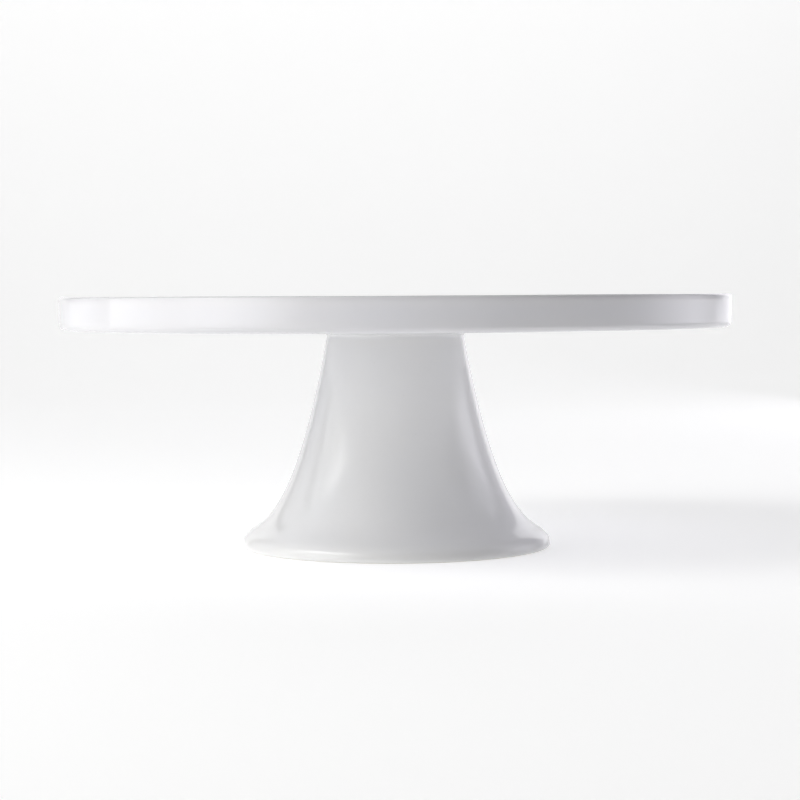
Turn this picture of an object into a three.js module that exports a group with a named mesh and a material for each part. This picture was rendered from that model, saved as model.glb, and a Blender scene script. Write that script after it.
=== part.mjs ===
// A footed cake stand in glazed white porcelain.
//
// Three formed pieces make the stand. The cake plate is a shallow tray with a low upright
// rim. The pedestal is a hollow trumpet, open at its foot. The luting ring is the band of
// fired slip that joins the pedestal to the underside of the plate. Each piece is turned
// about +Z. Units are millimetres, and the origin is the centre of the foot, on the table.

import * as THREE from 'three';

// Overall
const STAND_HEIGHT = 113;
const TURNED_SEGMENTS = 64;

// Cake plate
const PLATE_RADIUS = 150;
const PLATE_HEIGHT = 17;
const RIM_HEIGHT = 14.5;
const RIM_THICKNESS = 5.5;
const RIM_DRAFT = 0.3;
const RIM_LOWER_CORNER = 2.6;
const RIM_OUTER_CREST = 1.2;
const RIM_INNER_CREST = 2.2;
const WELL_DEPTH = 8;
const WELL_COVE = 4.5;
const LAND_RADIUS = 36;

// Luting ring
const LUTING_HEIGHT = 2.5;
const LUTING_FILLET = 1.15;
const LUTING_BEAD = 2.1;

// Pedestal
const NECK_RADIUS = 31.05;
const PEDESTAL_WALL = 5;
const FOOT_RADIUS = 69.5;
const LIP_UPPER_RADIUS = 6.1;
const LIP_LOWER_RADIUS = 1.4;
const LIP_LEAN = THREE.MathUtils.degToRad(38.5);
const FLARE_PULL_NECK = 88;
const FLARE_PULL_LIP = 9.6;
const NECK_LEAN = THREE.MathUtils.degToRad(10.6);
const FOOT_RING_INNER_RADIUS = 64.6;

// Facets along each round stretch of an outline
const CORNER_STEPS = 5;
const CREST_STEPS = 3;
const LIP_STEPS = 4;
const FILLET_STEPS = 5;
const FLARE_STEPS = 12;

// Levels above the table
const LAND_LEVEL = STAND_HEIGHT - PLATE_HEIGHT;
const PEDESTAL_HEIGHT = LAND_LEVEL - LUTING_HEIGHT;

const QUARTER_TURN = Math.PI / 2;

function arc(centreRadius, centreHeight, radius, from, to, steps) {
  const curve = new THREE.EllipseCurve(centreRadius, centreHeight, radius, radius, from, to, to < from);
  return curve.getPoints(steps);
}

function point(radius, height) {
  return new THREE.Vector2(radius, height);
}

// The point at a distance from start, in the direction of an angle above the horizontal.
function away(start, angle, distance) {
  return point(Math.cos(angle), Math.sin(angle)).multiplyScalar(distance).add(start);
}

// The underside rises gently from the flat land at the centre to the rim's lower corner.
// The rim's outside leans in a little towards that corner, and its crest is rounded.
function platePoints() {
  const slope = Math.atan2(PLATE_HEIGHT - RIM_HEIGHT, PLATE_RADIUS - LAND_RADIUS);
  const cornerRadius = PLATE_RADIUS - RIM_DRAFT - RIM_LOWER_CORNER;
  const cornerFootRadius = cornerRadius + RIM_LOWER_CORNER * Math.sin(slope);
  const cornerFootHeight = (cornerFootRadius - LAND_RADIUS) * Math.tan(slope);
  const cornerHeight = cornerFootHeight + RIM_LOWER_CORNER * Math.cos(slope);
  const innerRadius = PLATE_RADIUS - RIM_THICKNESS;
  const floorHeight = PLATE_HEIGHT - WELL_DEPTH;
  const outerCrest = point(PLATE_RADIUS - RIM_OUTER_CREST, PLATE_HEIGHT - RIM_OUTER_CREST);
  const innerCrest = point(innerRadius + RIM_INNER_CREST, PLATE_HEIGHT - RIM_INNER_CREST);
  return [
    point(0, 0),
    point(LAND_RADIUS, 0),
    ...arc(cornerRadius, cornerHeight, RIM_LOWER_CORNER, slope - QUARTER_TURN, 0, CORNER_STEPS),
    ...arc(outerCrest.x, outerCrest.y, RIM_OUTER_CREST, 0, QUARTER_TURN, CREST_STEPS),
    ...arc(innerCrest.x, innerCrest.y, RIM_INNER_CREST, QUARTER_TURN, Math.PI, CREST_STEPS),
    ...arc(innerRadius - WELL_COVE, floorHeight + WELL_COVE, WELL_COVE, 0, -QUARTER_TURN, CORNER_STEPS),
    point(0, floorHeight),
  ];
}

// The outside flare runs from the top of the lip up to the neck.
function flareCurve() {
  const lipCentre = point(FOOT_RADIUS - LIP_UPPER_RADIUS, LIP_LOWER_RADIUS);
  const lipTop = away(lipCentre, LIP_LEAN, LIP_UPPER_RADIUS);
  const lipPull = away(lipTop, LIP_LEAN + QUARTER_TURN, FLARE_PULL_LIP);
  const neck = point(NECK_RADIUS, PEDESTAL_HEIGHT);
  const neckPull = away(neck, NECK_LEAN - QUARTER_TURN, FLARE_PULL_NECK);
  return new THREE.CubicBezierCurve(lipTop, lipPull, neckPull, neck);
}

// A point on the hollow side of the wall, square to the flare.
function hollowPoint(flare, along) {
  const tangent = flare.getTangent(along);
  return flare.getPoint(along).add(point(-tangent.y, tangent.x).multiplyScalar(PEDESTAL_WALL));
}

function neckBoreRadius() {
  return NECK_RADIUS - PEDESTAL_WALL / Math.cos(NECK_LEAN);
}

function pedestalPoints() {
  const flare = flareCurve();
  const lowerLip = point(FOOT_RADIUS - LIP_LOWER_RADIUS, LIP_LOWER_RADIUS);
  const upperLip = point(FOOT_RADIUS - LIP_UPPER_RADIUS, LIP_LOWER_RADIUS);
  const outside = flare.getPoints(FLARE_STEPS).slice(1);
  const inside = outside.map((_, step) => hollowPoint(flare, 1 - (step + 1) / FLARE_STEPS));
  return [
    point(FOOT_RING_INNER_RADIUS, 0),
    ...arc(lowerLip.x, lowerLip.y, LIP_LOWER_RADIUS, -QUARTER_TURN, 0, LIP_STEPS),
    ...arc(upperLip.x, upperLip.y, LIP_UPPER_RADIUS, 0, LIP_LEAN, LIP_STEPS).slice(1),
    ...outside,
    point(neckBoreRadius(), PEDESTAL_HEIGHT),
    ...inside,
    point(FOOT_RING_INNER_RADIUS, 0),
  ];
}

// The slip is wiped to a fillet outside and left as a wider bead in the hollow.
function lutingPoints() {
  const drift = LUTING_HEIGHT * Math.tan(NECK_LEAN);
  const outerEdge = NECK_RADIUS - drift;
  const boreEdge = neckBoreRadius() - drift;
  const fillet = new THREE.QuadraticBezierCurve(
    point(NECK_RADIUS, 0),
    point(outerEdge, LUTING_HEIGHT),
    point(outerEdge + LUTING_FILLET, LUTING_HEIGHT),
  );
  const bead = new THREE.QuadraticBezierCurve(
    point(boreEdge - LUTING_BEAD, LUTING_HEIGHT),
    point(boreEdge, LUTING_HEIGHT),
    point(neckBoreRadius(), 0),
  );
  return [...fillet.getPoints(FILLET_STEPS), ...bead.getPoints(FILLET_STEPS), point(NECK_RADIUS, 0)];
}

function glaze(red, green, blue, roughness) {
  const color = new THREE.Color().setRGB(red, green, blue, THREE.SRGBColorSpace);
  return new THREE.MeshStandardMaterial({ color, roughness, metalness: 0 });
}

// A lathe turns about +Y, so each turned piece is stood up to turn about +Z.
function turned(name, points, material, level) {
  const mesh = new THREE.Mesh(new THREE.LatheGeometry(points, TURNED_SEGMENTS), material);
  mesh.name = name;
  mesh.rotation.x = QUARTER_TURN;
  mesh.position.z = level;
  return mesh;
}

const plateGlaze = glaze(0.95, 0.95, 0.95, 0.12);
const pedestalGlaze = glaze(0.94, 0.94, 0.945, 0.14);
const lutingGlaze = glaze(0.93, 0.93, 0.94, 0.18);

const cakeStand = new THREE.Group();
cakeStand.add(turned('pedestal', pedestalPoints(), pedestalGlaze, 0));
cakeStand.add(turned('luting_ring', lutingPoints(), lutingGlaze, PEDESTAL_HEIGHT));
cakeStand.add(turned('cake_plate', platePoints(), plateGlaze, LAND_LEVEL));

export default cakeStand;
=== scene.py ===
"""A footed cake stand in glazed white porcelain, standing on a plain pale paper sweep.

Metres throughout. The stand is turned about +Z and rests on z = 0. The camera stands as high as
the rim of the plate, on the -Y side, and looks along +Y and slightly down.
"""
import math

import bpy
from mathutils import Euler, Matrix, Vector, noise


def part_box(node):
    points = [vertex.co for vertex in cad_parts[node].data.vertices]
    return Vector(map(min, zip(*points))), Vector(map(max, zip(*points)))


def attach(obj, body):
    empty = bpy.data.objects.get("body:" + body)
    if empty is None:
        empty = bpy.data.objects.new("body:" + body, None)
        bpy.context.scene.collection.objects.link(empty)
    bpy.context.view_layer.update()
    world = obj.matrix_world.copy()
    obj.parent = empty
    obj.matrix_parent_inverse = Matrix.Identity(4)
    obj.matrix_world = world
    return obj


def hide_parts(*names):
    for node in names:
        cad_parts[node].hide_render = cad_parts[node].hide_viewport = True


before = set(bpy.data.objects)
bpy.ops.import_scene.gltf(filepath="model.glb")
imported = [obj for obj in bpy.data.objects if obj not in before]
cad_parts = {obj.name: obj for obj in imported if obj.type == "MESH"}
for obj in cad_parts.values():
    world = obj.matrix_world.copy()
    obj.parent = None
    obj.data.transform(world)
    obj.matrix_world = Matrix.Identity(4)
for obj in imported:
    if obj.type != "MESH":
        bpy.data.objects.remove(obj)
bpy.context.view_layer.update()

MM = 0.001

# ---------------------------------------------------------------- sizes read from the frame
plate_low, plate_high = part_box("cake_plate")
luting_low, luting_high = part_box("luting_ring")
pedestal_low, pedestal_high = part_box("pedestal")
PLATE_RADIUS = plate_high.x
RIM_LEVEL = plate_high.z
LAND_LEVEL = plate_low.z
NECK_LEVEL = pedestal_high.z
FOOT_RADIUS = pedestal_high.x
PLATE_HEIGHT = RIM_LEVEL - LAND_LEVEL
LUTING_HEIGHT = LAND_LEVEL - NECK_LEVEL

# ---------------------------------------------------------------- sizes of the formed clay
RIM_HEIGHT = 14.5 * MM
RIM_THICKNESS = 5.5 * MM
RIM_DRAFT = 0.3 * MM
RIM_LOWER_CORNER = 2.6 * MM
RIM_OUTER_CREST = 1.2 * MM
RIM_INNER_CREST = 2.2 * MM
WELL_DEPTH = 8 * MM
WELL_COVE = 4.5 * MM
LAND_RADIUS = 36 * MM
LUTING_FILLET = 1.15 * MM
LUTING_BEAD = 2.1 * MM
NECK_RADIUS = 31.05 * MM
NECK_LEAN = math.radians(10.6)
PEDESTAL_WALL = 5 * MM
LIP_UPPER_RADIUS = 6.1 * MM
LIP_LOWER_RADIUS = 1.4 * MM
LIP_LEAN = math.radians(38.5)
FLARE_PULL_NECK = 88 * MM
FLARE_PULL_LIP = 9.6 * MM
FOOT_RING_INNER_RADIUS = 64.6 * MM
RING_INNER_CORNER = 0.5 * MM
NECK_BORE_RADIUS = NECK_RADIUS - PEDESTAL_WALL / math.cos(NECK_LEAN)

# ---------------------------------------------------------------- what making it leaves behind
GLAZE_GRAIN = 0.2 * MM
GLAZE_REACH = 2.5 * MM
LEVEL_GLAZE_DEPTH = 0.5
WARP_FREE_HEIGHT = 40 * MM
WARP_SLOW_SIZE = 160 * MM
WARP_SLOW_DEPTH = 0.25 * MM
WARP_QUICK_SIZE = 34 * MM
WARP_QUICK_DEPTH = 0.03 * MM
HAND_WORK_SIZE = 7 * MM
HOLLOW_RELIEF = 0.35 * MM
BEAD_RELIEF = 0.6 * MM
TURNING_PITCH = 2.6 * MM
PLATE_TURNING_DEPTH = 0.0015 * MM
PEDESTAL_TURNING_DEPTH = 0.0008 * MM
GLAZE_WAVE_SIZE = 13 * MM
GLAZE_WAVE_DEPTH = 0.012 * MM
ORANGE_PEEL_SIZE = 1.6 * MM
ORANGE_PEEL_DEPTH = 0.0012 * MM
PINHOLE_SPACING = 5 * MM
PINHOLE_RADIUS = 0.12 * MM
PINHOLE_DEPTH = 0.02 * MM
IRON_SPECK_SPACING = 7 * MM
IRON_SPECK_RADIUS = 0.16 * MM
BARE_CLAY_LEVEL = 0.22 * MM
BARE_CLAY_RAGGED = 0.14 * MM
BARE_CLAY_SIZE = 4 * MM
BARE_CLAY_EDGE = 0.06 * MM
CLAY_GRAIN_SIZE = 0.4 * MM
CLAY_GRAIN_DEPTH = 0.03 * MM
SCUFF_SIZE = 2.2 * MM

# noise_vector takes its seed from the clock unless it is given one.
KILN_SEED = 1
noise.seed_set(KILN_SEED)

# ---------------------------------------------------------------- finishes
# The plate's glaze is set darker and lilac and the pedestal's lighter, though both are one porcelain:
# painted cool shade on the plate, painted light on the pedestal and luting ring. Only the step from thin
# to pooled is the glaze's own colour.
THIN_PLATE_GLAZE_PAINTED_COOL_SHADE = (0.752, 0.747, 0.770)
POOLED_PLATE_GLAZE_PAINTED_COOL_SHADE = (0.726, 0.727, 0.768)
THIN_FOOT_GLAZE_PAINTED_LIGHT = (0.826, 0.824, 0.818)
POOLED_FOOT_GLAZE_PAINTED_LIGHT = (0.802, 0.806, 0.816)
IRON_SPECK = (0.42, 0.34, 0.26)
BARE_CLAY = (0.69, 0.66, 0.61)
SCUFFED_CLAY = (0.52, 0.50, 0.47)
IRON_SPECK_STRENGTH = 0.45
SCUFF_STRENGTH = 0.7
CLOUD_SIZE = 45 * MM
CLOUD_STRENGTH = 0.35
GLOSS_PATCH_SIZE = 11 * MM
GLAZE_ROUGHNESS = (0.08, 0.12)
BARE_CLAY_ROUGHNESS = 0.85
GLAZE_IOR = 1.52

TURNED_SEGMENTS = 288
SHARP_ANGLE = math.radians(40)
QUARTER_TURN = math.pi / 2
WAVE_NODE_PITCH = 20
USUAL_NOISE = (0.3, 0.7)


# ---------------------------------------------------------------- outlines
def arc(centre_radius, centre_height, radius, start, end, steps):
    """Points along a circle, in the (radius, height) plane."""
    angles = [start + (end - start) * step / steps for step in range(steps + 1)]
    return [
        Vector((centre_radius + radius * math.cos(a), centre_height + radius * math.sin(a)))
        for a in angles
    ]


def line(start, end, steps):
    """Points between start and end, without either of them."""
    return [start.lerp(end, step / steps) for step in range(1, steps)]


def bezier(controls, steps):
    """Points along a Bezier curve of any degree."""
    points = []
    for step in range(steps + 1):
        stage = list(controls)
        while len(stage) > 1:
            stage = [a.lerp(b, step / steps) for a, b in zip(stage, stage[1:])]
        points.append(stage[0])
    return points


def plate_outline():
    """From the centre of the underside, out, over the rim and back to the centre of the floor."""
    slope = math.atan2(PLATE_HEIGHT - RIM_HEIGHT, PLATE_RADIUS - LAND_RADIUS)
    corner_radius = PLATE_RADIUS - RIM_DRAFT - RIM_LOWER_CORNER
    corner_foot = corner_radius + RIM_LOWER_CORNER * math.sin(slope)
    corner_level = LAND_LEVEL + (corner_foot - LAND_RADIUS) * math.tan(slope)
    corner_level += RIM_LOWER_CORNER * math.cos(slope)
    inner_radius = PLATE_RADIUS - RIM_THICKNESS
    floor_level = RIM_LEVEL - WELL_DEPTH
    crest_out = PLATE_RADIUS - RIM_OUTER_CREST
    crest_in = inner_radius + RIM_INNER_CREST
    centre_below = Vector((0, LAND_LEVEL))
    land_edge = Vector((LAND_RADIUS, LAND_LEVEL))
    corner = arc(corner_radius, corner_level, RIM_LOWER_CORNER, slope - QUARTER_TURN, 0, 12)
    outer_crest = arc(crest_out, RIM_LEVEL - RIM_OUTER_CREST, RIM_OUTER_CREST, 0, QUARTER_TURN, 9)
    inner_crest = arc(crest_in, RIM_LEVEL - RIM_INNER_CREST, RIM_INNER_CREST, QUARTER_TURN, math.pi, 10)
    cove = arc(inner_radius - WELL_COVE, floor_level + WELL_COVE, WELL_COVE, 0, -QUARTER_TURN, 14)
    centre_above = Vector((0, floor_level))
    return [
        centre_below,
        *line(centre_below, land_edge, 9),
        land_edge,
        *line(land_edge, corner[0], 28),
        *corner,
        *line(corner[-1], outer_crest[0], 8),
        *outer_crest,
        *line(outer_crest[-1], inner_crest[0], 3),
        *inner_crest,
        *cove,
        *line(cove[-1], centre_above, 36),
        centre_above,
    ]


def flare_controls():
    """The outside of the pedestal, from the top of the foot's lip up to the neck."""
    lip_centre = Vector((FOOT_RADIUS - LIP_UPPER_RADIUS, LIP_LOWER_RADIUS))
    lip_top = lip_centre + LIP_UPPER_RADIUS * Vector((math.cos(LIP_LEAN), math.sin(LIP_LEAN)))
    lip_pull = lip_top + FLARE_PULL_LIP * Vector((-math.sin(LIP_LEAN), math.cos(LIP_LEAN)))
    neck = Vector((NECK_RADIUS, NECK_LEVEL))
    neck_pull = neck + FLARE_PULL_NECK * Vector((math.sin(NECK_LEAN), -math.cos(NECK_LEAN)))
    return [lip_top, lip_pull, neck_pull, neck]


def hollow_side(flare):
    """The inside of the wall, square to the flare and one wall thickness in, from the neck down."""
    inside = []
    for below, above in zip(flare, flare[1:]):
        along = (above - below).normalized()
        inside.append((below + above) / 2 + PEDESTAL_WALL * Vector((-along.y, along.x)))
    return inside[::-1]


def pedestal_outline():
    """The foot ring, the lip, the flare and the top of the neck, and then the hollow."""
    ring_edge = FOOT_RING_INNER_RADIUS + RING_INNER_CORNER
    lower_centre = FOOT_RADIUS - LIP_LOWER_RADIUS
    upper_centre = FOOT_RADIUS - LIP_UPPER_RADIUS
    inner_corner = arc(ring_edge, RING_INNER_CORNER, RING_INNER_CORNER, math.pi, 3 * QUARTER_TURN, 8)
    lower_lip = arc(lower_centre, LIP_LOWER_RADIUS, LIP_LOWER_RADIUS, -QUARTER_TURN, 0, 18)
    upper_lip = arc(upper_centre, LIP_LOWER_RADIUS, LIP_UPPER_RADIUS, 0, LIP_LEAN, 12)
    flare = bezier(flare_controls(), 72)
    bore_edge = Vector((NECK_BORE_RADIUS, NECK_LEVEL))
    hollow = hollow_side(flare)
    outside = [
        *inner_corner,
        *line(inner_corner[-1], lower_lip[0], 8),
        *lower_lip,
        *upper_lip[1:],
        *flare[1:],
        *line(flare[-1], bore_edge, 3),
        bore_edge,
    ]
    return outside, [*hollow, *line(hollow[-1], outside[0], 3)]


def luting_outline():
    """The outer fillet and the face against the plate, and then the bead left in the hollow."""
    drift = LUTING_HEIGHT * math.tan(NECK_LEAN)
    outer_edge = NECK_RADIUS - drift
    bore_edge = NECK_BORE_RADIUS - drift
    fillet = bezier(
        [
            Vector((NECK_RADIUS, NECK_LEVEL)),
            Vector((outer_edge, LAND_LEVEL)),
            Vector((outer_edge + LUTING_FILLET, LAND_LEVEL)),
        ],
        14,
    )
    bead = bezier(
        [
            Vector((bore_edge - LUTING_BEAD, LAND_LEVEL)),
            Vector((bore_edge, LAND_LEVEL)),
            Vector((NECK_BORE_RADIUS, NECK_LEVEL)),
        ],
        14,
    )
    outside = [*line(bead[-1], fillet[0], 4), *fillet, *line(fillet[-1], bead[0], 4)]
    return outside, bead


# ---------------------------------------------------------------- turned pieces
def swell(count):
    """Weights that rise from nothing to one and fall back, for relief that fades at its ends."""
    return [math.sin(math.pi * (step + 0.5) / count) ** 2 for step in range(count)]


def glaze_depths(outline):
    """How deep the glaze lies at each point, from 0 on sharp edges, where it draws thin, to 1 in
    hollows, where it pools."""
    bends = []
    for before, here, after in zip([outline[-1], *outline], outline, [*outline[1:], outline[0]]):
        turn_angle = (here - before).angle_signed(after - here, 0)
        bends.append(turn_angle / max((after - before).length / 2, GLAZE_GRAIN))
    depths = []
    for here in outline:
        weights = [math.exp(-((here - other).length / GLAZE_REACH) ** 2) for other in outline]
        bend = sum(w * b for w, b in zip(weights, bends)) / sum(weights)
        depths.append(LEVEL_GLAZE_DEPTH * (1 + math.tanh(bend * GLAZE_REACH)))
    return depths


def kiln_warp(point):
    """Clay moves a little in the kiln, more the higher it stands. The foot stays flat."""
    lift = min(point.z / WARP_FREE_HEIGHT, 1) ** 2
    slow = noise.noise_vector(point / WARP_SLOW_SIZE) * WARP_SLOW_DEPTH
    quick = noise.noise_vector(point / WARP_QUICK_SIZE) * WARP_QUICK_DEPTH
    return point + (slow + quick) * lift


def ring_of_points(station, hand_work):
    """The points that one point of an outline turns through, moved by hand work and by the kiln."""
    ring = []
    for segment in range(TURNED_SEGMENTS):
        angle = math.tau * segment / TURNED_SEGMENTS
        outward = Vector((math.cos(angle), math.sin(angle), 0))
        point = outward * station.x + Vector((0, 0, station.y))
        point += outward * hand_work * noise.noise(point / HAND_WORK_SIZE)
        ring.append(kiln_warp(point))
    return ring


def band_faces(below, above):
    """The faces between two rings, each given by the number of its first point."""
    faces = []
    for segment in range(TURNED_SEGMENTS):
        after = (segment + 1) % TURNED_SEGMENTS
        faces.append((below + segment, below + after, above + after, above + segment))
    return faces


def disc_faces(bottom, top, crown):
    """The faces from the bottom centre to the first ring, and from the top centre to the last."""
    faces = []
    for segment in range(TURNED_SEGMENTS):
        after = (segment + 1) % TURNED_SEGMENTS
        faces.append((bottom, after, segment))
        faces.append((top, crown + segment, crown + after))
    return faces


def turn(name, outline, closed, relief):
    """Turns an outline about +Z. An open outline starts and ends on the axis.

    relief gives, for each point of the outline, how far hand work moves the clay there.
    """
    first, last = (0, len(outline)) if closed else (1, len(outline) - 1)
    rings = outline[first:last]
    starts = [number * TURNED_SEGMENTS for number in range(len(rings))]
    vertices = []
    for station, hand_work in zip(rings, relief[first:last]):
        vertices += ring_of_points(station, hand_work)
    depths = [depth for depth in glaze_depths(outline)[first:last] for _ in range(TURNED_SEGMENTS)]
    faces = []
    for below, above in zip(starts, starts[1:]):
        faces += band_faces(below, above)
    if closed:
        faces += band_faces(starts[-1], starts[0])
    else:
        faces += disc_faces(len(vertices), len(vertices) + 1, starts[-1])
        vertices += [kiln_warp(Vector((0, 0, centre.y))) for centre in (outline[0], outline[-1])]
        depths += [LEVEL_GLAZE_DEPTH, LEVEL_GLAZE_DEPTH]
    mesh = bpy.data.meshes.new(name)
    mesh.from_pydata(vertices, [], faces)
    mesh.attributes.new("glaze_depth", "FLOAT", "POINT").data.foreach_set("value", depths)
    mesh.shade_smooth()
    mesh.set_sharp_from_angle(angle=SHARP_ANGLE)
    piece = bpy.data.objects.new(name, mesh)
    bpy.context.scene.collection.objects.link(piece)
    return piece


# ---------------------------------------------------------------- shader building blocks
def principled(name):
    """A new material, its node tree and its Principled shader."""
    material = bpy.data.materials.new(name)
    material.use_nodes = True
    return material, material.node_tree, material.node_tree.nodes["Principled BSDF"]


def place_on(tree):
    """Where a point of the surface is, in metres from the piece's own origin."""
    return tree.nodes.new("ShaderNodeTexCoord").outputs["Object"]


def remap(tree, value, low, high, at_low, at_high):
    """Carries value from low..high to at_low..at_high, and holds it there outside them."""
    node = tree.nodes.new("ShaderNodeMapRange")
    tree.links.new(value, node.inputs["Value"])
    node.inputs["From Min"].default_value = low
    node.inputs["From Max"].default_value = high
    node.inputs["To Min"].default_value = at_low
    node.inputs["To Max"].default_value = at_high
    return node.outputs["Result"]


def combine(tree, operation, first, second):
    """One arithmetic step between a socket and a socket or number."""
    node = tree.nodes.new("ShaderNodeMath")
    node.operation = operation
    tree.links.new(first, node.inputs[0])
    if isinstance(second, (int, float)):
        node.inputs[1].default_value = second
    else:
        tree.links.new(second, node.inputs[1])
    return node.outputs["Value"]


def lumps(tree, place, size, detail=0.0):
    """Noise from 0 to 1 with lumps of about the given size."""
    node = tree.nodes.new("ShaderNodeTexNoise")
    node.inputs["Scale"].default_value = 1 / size
    node.inputs["Detail"].default_value = detail
    tree.links.new(place, node.inputs["Vector"])
    return node.outputs["Fac"]


def spots(tree, place, spacing, radius):
    """1 inside small round spots scattered through the clay, and 0 between them."""
    node = tree.nodes.new("ShaderNodeTexVoronoi")
    node.inputs["Scale"].default_value = 1 / spacing
    tree.links.new(place, node.inputs["Vector"])
    edge = radius / spacing
    return remap(tree, node.outputs["Distance"], edge, edge / 2, 0, 1)


def turning_rings(tree, place, spacing):
    """Fine ridges round the axis, from the wheel."""
    node = tree.nodes.new("ShaderNodeTexWave")
    node.wave_type = "RINGS"
    node.rings_direction = "Z"
    node.inputs["Scale"].default_value = math.tau / (WAVE_NODE_PITCH * spacing)
    node.inputs["Distortion"].default_value = 1.5
    node.inputs["Detail Scale"].default_value = 0.4
    tree.links.new(place, node.inputs["Vector"])
    return node.outputs["Fac"]


def tint(tree, share, first, second):
    """The colour first where share is 0 and second where it is 1."""
    node = tree.nodes.new("ShaderNodeMix")
    node.data_type = "RGBA"
    tree.links.new(share, node.inputs["Factor"])
    for socket, colour in (("A_Color", first), ("B_Color", second)):
        end = next(entry for entry in node.inputs if entry.identifier == socket)
        if isinstance(colour, tuple):
            end.default_value = (*colour, 1)
        else:
            tree.links.new(colour, end)
    return next(entry for entry in node.outputs if entry.identifier == "Result_Color")


def press(tree, height, depth, normal=None):
    """Raises the surface by depth where height is 1, on top of the relief in normal."""
    node = tree.nodes.new("ShaderNodeBump")
    node.inputs["Distance"].default_value = depth
    tree.links.new(height, node.inputs["Height"])
    if normal is not None:
        tree.links.new(normal, node.inputs["Normal"])
    return node.outputs["Normal"]


# ---------------------------------------------------------------- glazed porcelain
def glaze_colour(tree, place, thin, pooled):
    """From thin to pooled with the depth of the glaze, in soft clouds, with a few iron specks."""
    depth = tree.nodes.new("ShaderNodeAttribute")
    depth.attribute_name = "glaze_depth"
    patches = lumps(tree, place, CLOUD_SIZE, 3)
    clouds = remap(tree, patches, *USUAL_NOISE, -CLOUD_STRENGTH, CLOUD_STRENGTH)
    clouded = tint(tree, combine(tree, "ADD", depth.outputs["Fac"], clouds), thin, pooled)
    iron = spots(tree, place, IRON_SPECK_SPACING, IRON_SPECK_RADIUS)
    return tint(tree, combine(tree, "MULTIPLY", iron, IRON_SPECK_STRENGTH), clouded, IRON_SPECK)


def glaze_relief(tree, place, turning_depth):
    """The glass surface: slow waves, orange peel, what shows of the wheel, and pinholes."""
    normal = press(tree, lumps(tree, place, GLAZE_WAVE_SIZE), GLAZE_WAVE_DEPTH)
    normal = press(tree, lumps(tree, place, ORANGE_PEEL_SIZE), ORANGE_PEEL_DEPTH, normal)
    normal = press(tree, turning_rings(tree, place, TURNING_PITCH), turning_depth, normal)
    return press(tree, spots(tree, place, PINHOLE_SPACING, PINHOLE_RADIUS), -PINHOLE_DEPTH, normal)


def wiped_share(tree, place):
    """1 on the standing ring, which is wiped bare before firing, and 0 on the glaze above it."""
    height = tree.nodes.new("ShaderNodeSeparateXYZ")
    tree.links.new(place, height.inputs["Vector"])
    ragged = combine(tree, "MULTIPLY", lumps(tree, place, BARE_CLAY_SIZE, 3), BARE_CLAY_RAGGED)
    level = combine(tree, "SUBTRACT", height.outputs["Z"], ragged)
    return remap(tree, level, BARE_CLAY_LEVEL, BARE_CLAY_LEVEL - BARE_CLAY_EDGE, 0, 1)


def porcelain(name, thin, pooled, turning_depth, wiped_foot=False):
    """Glossy white porcelain. With wiped_foot, the ring that it stands on is bare and scuffed."""
    material, tree, shader = principled(name)
    place = place_on(tree)
    # thin and pooled carry painted cool shade in the plate's colours and painted light in the pedestal's.
    colour = glaze_colour(tree, place, thin, pooled)
    roughness = remap(tree, lumps(tree, place, GLOSS_PATCH_SIZE, 2), *USUAL_NOISE, *GLAZE_ROUGHNESS)
    normal = glaze_relief(tree, place, turning_depth)
    if wiped_foot:
        bare = wiped_share(tree, place)
        scuffs = remap(tree, lumps(tree, place, SCUFF_SIZE, 4), 0.5, 0.75, 0, SCUFF_STRENGTH)
        colour = tint(tree, bare, colour, tint(tree, scuffs, BARE_CLAY, SCUFFED_CLAY))
        bare_roughness = combine(tree, "MULTIPLY", bare, BARE_CLAY_ROUGHNESS)
        roughness = combine(tree, "MAXIMUM", bare_roughness, roughness)
        grain = combine(tree, "MULTIPLY", lumps(tree, place, CLAY_GRAIN_SIZE, 2), bare)
        normal = press(tree, grain, CLAY_GRAIN_DEPTH, normal)
    tree.links.new(colour, shader.inputs["Base Color"])
    tree.links.new(roughness, shader.inputs["Roughness"])
    tree.links.new(normal, shader.inputs["Normal"])
    shader.inputs["IOR"].default_value = GLAZE_IOR
    return material


# ---------------------------------------------------------------- the stand
def stand_in(piece, node, material):
    """The piece stands for the CAD node and takes its finish from the slot."""
    piece.data.materials.append(material)
    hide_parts(node)
    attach(piece, "root")


def add_cake_plate():
    outline = plate_outline()
    piece = turn("cake_plate_visual", outline, False, [0.0] * len(outline))
    # The plate's glaze colours hold painted cool shade: darker and more lilac than the pedestal's.
    glaze = porcelain("plate_glaze", THIN_PLATE_GLAZE_PAINTED_COOL_SHADE, POOLED_PLATE_GLAZE_PAINTED_COOL_SHADE, PLATE_TURNING_DEPTH)
    stand_in(piece, "cake_plate", glaze)


def add_pedestal():
    outside, hollow = pedestal_outline()
    relief = [0.0] * len(outside) + [HOLLOW_RELIEF * share for share in swell(len(hollow))]
    piece = turn("pedestal_visual", outside + hollow, True, relief)
    turning = PEDESTAL_TURNING_DEPTH
    # The pedestal's glaze colours hold painted light: lighter than the plate's.
    glaze = porcelain("pedestal_glaze", THIN_FOOT_GLAZE_PAINTED_LIGHT, POOLED_FOOT_GLAZE_PAINTED_LIGHT, turning, wiped_foot=True)
    stand_in(piece, "pedestal", glaze)


def add_luting_ring():
    outside, bead = luting_outline()
    relief = [0.0] * len(outside) + [BEAD_RELIEF * share for share in swell(len(bead))]
    piece = turn("luting_ring_visual", outside + bead, True, relief)
    # The luting ring takes the pedestal's lightened glaze colours, with their painted light.
    glaze = porcelain("luting_slip", THIN_FOOT_GLAZE_PAINTED_LIGHT, POOLED_FOOT_GLAZE_PAINTED_LIGHT, 0.0)
    stand_in(piece, "luting_ring", glaze)


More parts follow.
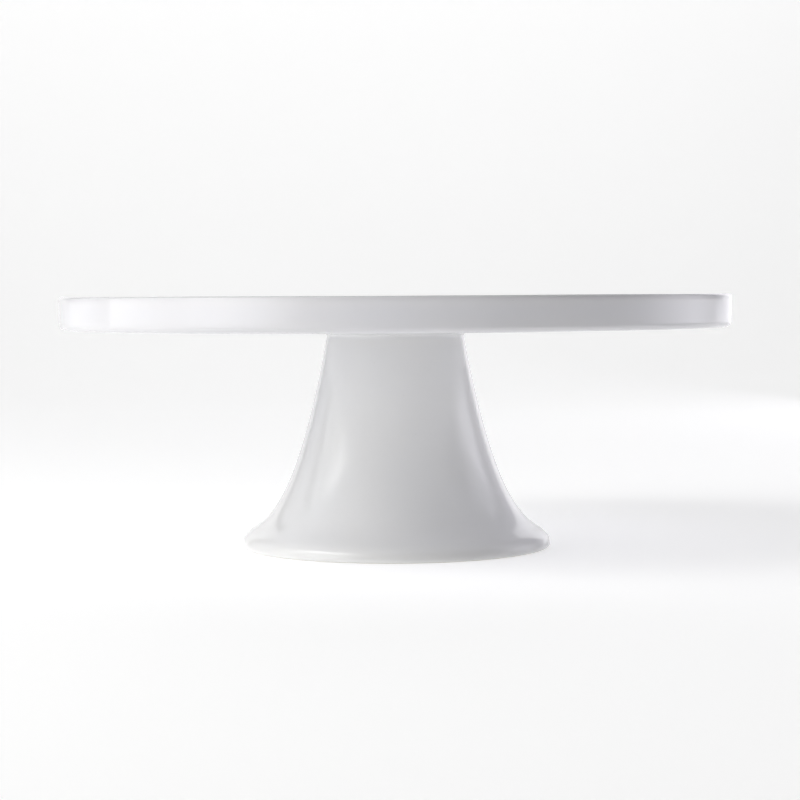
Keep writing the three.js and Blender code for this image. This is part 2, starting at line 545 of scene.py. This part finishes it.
# ---------------------------------------------------------------- studio
CAMERA_DISTANCE = 0.97
CAMERA_SIDE = 2.0 * MM
CAMERA_PITCH = math.radians(2.785)
CAMERA_ROLL = math.radians(-0.27)
CAMERA_LENS = 96.75
CAMERA_SENSOR = 36
CAMERA_CLIP_START = 0.01

# The paper's own glow, as strengths over ranges of distance from the stand: painted light that lights the
# stand from below, a little dimmer right under the stand as a painted shadow.
NEAR_GLOW_REACH = (0.04, 0.16)
NEAR_GLOW = (0.36, 0.38)
FAR_GLOW_REACH = (0.7, 1.7)
FAR_GLOW = 0.08
OUTER_GLOW_REACH = (1.2, 2.2)
OUTER_GLOW = 0.4
PAPER_WHITE = (0.85, 0.85, 0.85)
PAPER_ROUGHNESS = 0.9
PAPER_THICKNESS = 1 * MM
ROOM_BRIGHTNESS = 0.9

SWEEP_FRONT = -1.3
SWEEP_BEND = 1.1
SWEEP_BEND_RADIUS = 0.7
SWEEP_TOP = 2.2
SWEEP_HALF_WIDTH = 1.2
FLOOR_HALF_WIDTH = 5.0

WARM_LIGHT = (1.0, 1.0, 0.985)
COOL_LIGHT = (0.94, 0.925, 1.0)
PANEL_DISTANCE = 1.2


def add_camera():
    camera = bpy.data.objects.new("camera", bpy.data.cameras.new("camera"))
    bpy.context.scene.collection.objects.link(camera)
    camera.data.lens = CAMERA_LENS
    camera.data.sensor_width = CAMERA_SENSOR
    camera.data.clip_start = CAMERA_CLIP_START
    camera.location = (CAMERA_SIDE, -CAMERA_DISTANCE, RIM_LEVEL)
    look = Euler((QUARTER_TURN - CAMERA_PITCH, 0, 0)).to_matrix()
    roll = Euler((0, 0, CAMERA_ROLL)).to_matrix()
    camera.rotation_euler = (look @ roll).to_euler()
    bpy.context.scene.camera = camera


def studio_paper(name, outer_glow):
    """Pale matt paper that glows like a light table lit from below, which is painted light; the glow is
    least right under the stand, a painted shadow.
    """
    material, tree, shader = principled(name)
    away = tree.nodes.new("ShaderNodeVectorMath")
    away.operation = "LENGTH"
    tree.links.new(place_on(tree), away.inputs[0])
    near = remap(tree, away.outputs["Value"], *NEAR_GLOW_REACH, *NEAR_GLOW)
    far = remap(tree, away.outputs["Value"], *FAR_GLOW_REACH, 0, FAR_GLOW)
    outer = remap(tree, away.outputs["Value"], *OUTER_GLOW_REACH, 0, outer_glow)
    glow = combine(tree, "ADD", combine(tree, "ADD", near, far), outer)
    tree.links.new(glow, shader.inputs["Emission Strength"])
    shader.inputs["Emission Color"].default_value = (1, 1, 1, 1)
    shader.inputs["Base Color"].default_value = (*PAPER_WHITE, 1)
    shader.inputs["Roughness"].default_value = PAPER_ROUGHNESS
    return material


def add_sheet(name, vertices, faces, material):
    mesh = bpy.data.meshes.new(name)
    mesh.from_pydata(vertices, [], faces)
    mesh.shade_smooth()
    mesh.materials.append(material)
    sheet = bpy.data.objects.new(name, mesh)
    bpy.context.scene.collection.objects.link(sheet)


def add_sweep(material):
    """A paper sweep: the floor under the stand runs back and curves up into the backdrop."""
    profile = [Vector((SWEEP_FRONT, 0)), Vector((SWEEP_BEND, 0))]
    profile += arc(SWEEP_BEND, SWEEP_BEND_RADIUS, SWEEP_BEND_RADIUS, -QUARTER_TURN, 0, 24)[1:]
    profile += [Vector((SWEEP_BEND + SWEEP_BEND_RADIUS, SWEEP_TOP))]
    vertices = [(x, p.x, p.y) for p in profile for x in (-SWEEP_HALF_WIDTH, SWEEP_HALF_WIDTH)]
    faces = [(2 * i, 2 * i + 1, 2 * i + 3, 2 * i + 2) for i in range(len(profile) - 1)]
    add_sheet("studio_sweep", vertices, faces, material)


def add_floor(material):
    """The pale floor that the sweep lies on."""
    signs = ((-1, -1), (1, -1), (1, 1), (-1, 1))
    corners = [(x * FLOOR_HALF_WIDTH, y * FLOOR_HALF_WIDTH, -PAPER_THICKNESS) for x, y in signs]
    add_sheet("studio_floor", corners, [(0, 1, 2, 3)], material)


def fade_edges(light, margins):
    """Dims a panel towards its left, right, bottom and top edges, each over a share of its size."""
    light.use_nodes = True
    tree = light.node_tree
    across = tree.nodes.new("ShaderNodeSeparateXYZ")
    tree.links.new(tree.nodes.new("ShaderNodeNewGeometry").outputs["Parametric"], across.inputs["Vector"])
    left, right, bottom, top = margins
    strength = remap(tree, across.outputs["X"], 0, left, 0, 1)
    for axis, start, end in (("X", 1, 1 - right), ("Y", 0, bottom), ("Y", 1, 1 - top)):
        strength = combine(tree, "MULTIPLY", strength, remap(tree, across.outputs[axis], start, end, 0, 1))
    tree.links.new(strength, tree.nodes["Emission"].inputs["Strength"])


def add_panel(name, azimuth, levels, width, radiance, margins, colour):
    """An upright soft panel facing the stand, from one height to another.

    Azimuth is in degrees: 0 is the camera's side and 90 is the right. Margins are as for fade_edges.
    """
    bottom, top = levels
    light = bpy.data.lights.new(name, "AREA")
    light.shape = "RECTANGLE"
    light.size, light.size_y = width, top - bottom
    light.energy = radiance * math.pi * width * (top - bottom)
    light.color = colour
    fade_edges(light, margins)
    panel = bpy.data.objects.new(name, light)
    bpy.context.scene.collection.objects.link(panel)
    around = math.radians(azimuth)
    outward = Vector((math.sin(around), -math.cos(around), 0))
    panel.location = outward * PANEL_DISTANCE + Vector((0, 0, (bottom + top) / 2))
    panel.rotation_euler = (-outward).to_track_quat("-Z", "Y").to_euler()
    panel.visible_camera = False


def add_lamp(name, height, width, power, spread):
    """A flat square lamp that hangs over the stand and shines straight down."""
    light = bpy.data.lights.new(name, "AREA")
    light.shape = "SQUARE"
    light.size = width
    light.energy = power
    light.spread = spread
    lamp = bpy.data.objects.new(name, light)
    bpy.context.scene.collection.objects.link(lamp)
    lamp.location = (0, 0, height)
    lamp.visible_camera = False


def add_world():
    """A pale room behind everything, which only the camera sees, so it lights nothing."""
    world = bpy.data.worlds.new("studio")
    bpy.context.scene.world = world
    world.use_nodes = True
    tree = world.node_tree
    seen = tree.nodes.new("ShaderNodeLightPath").outputs["Is Camera Ray"]
    room = tree.nodes["Background"]
    tree.links.new(combine(tree, "MULTIPLY", seen, ROOM_BRIGHTNESS), room.inputs["Strength"])
    room.inputs["Color"].default_value = (1, 1, 1, 1)


add_camera()
add_sweep(studio_paper("sweep_paper", 0))
add_floor(studio_paper("floor_paper", OUTER_GLOW))
add_world()
add_panel(
    "key_high", azimuth=-57, levels=(0.4, 1.8), width=1.6,
    radiance=4.8, margins=(0.35, 0.45, 0.3, 0.3), colour=WARM_LIGHT,
)
add_panel(
    "key_low", azimuth=-49, levels=(0.0, 0.5), width=1.0,
    radiance=2.6, margins=(0.35, 0.4, 0.05, 0.2), colour=WARM_LIGHT,
)
add_panel(
    "left_side", azimuth=-78, levels=(0.0, 1.2), width=1.15,
    radiance=1.12, margins=(0.03, 0.35, 0.03, 0.2), colour=WARM_LIGHT,
)
add_panel(
    "left_back", azimuth=-125, levels=(0.0, 1.0), width=0.7,
    radiance=0.48, margins=(0.25, 0.25, 0.1, 0.25), colour=COOL_LIGHT,
)
add_panel(
    "right_low", azimuth=101, levels=(0.0, 0.5), width=1.2,
    radiance=1.6, margins=(0.45, 0.3, 0.05, 0.2), colour=COOL_LIGHT,
)
add_panel(
    "right_high", azimuth=105, levels=(0.3, 1.2), width=1.1,
    radiance=1.2, margins=(0.45, 0.3, 0.2, 0.25), colour=COOL_LIGHT,
)
add_panel(
    "right_back", azimuth=143, levels=(0.0, 1.2), width=1.0,
    radiance=0.75, margins=(0.35, 0.25, 0.05, 0.25), colour=COOL_LIGHT,
)
add_lamp("overhead", height=1.5, width=2.4, power=7.5, spread=math.pi)
add_lamp("plate_lamp", height=1.3, width=0.2, power=0.07, spread=math.radians(3))
bpy.context.scene.view_settings.view_transform = "Standard"

add_cake_plate()
add_pedestal()
add_luting_ring()
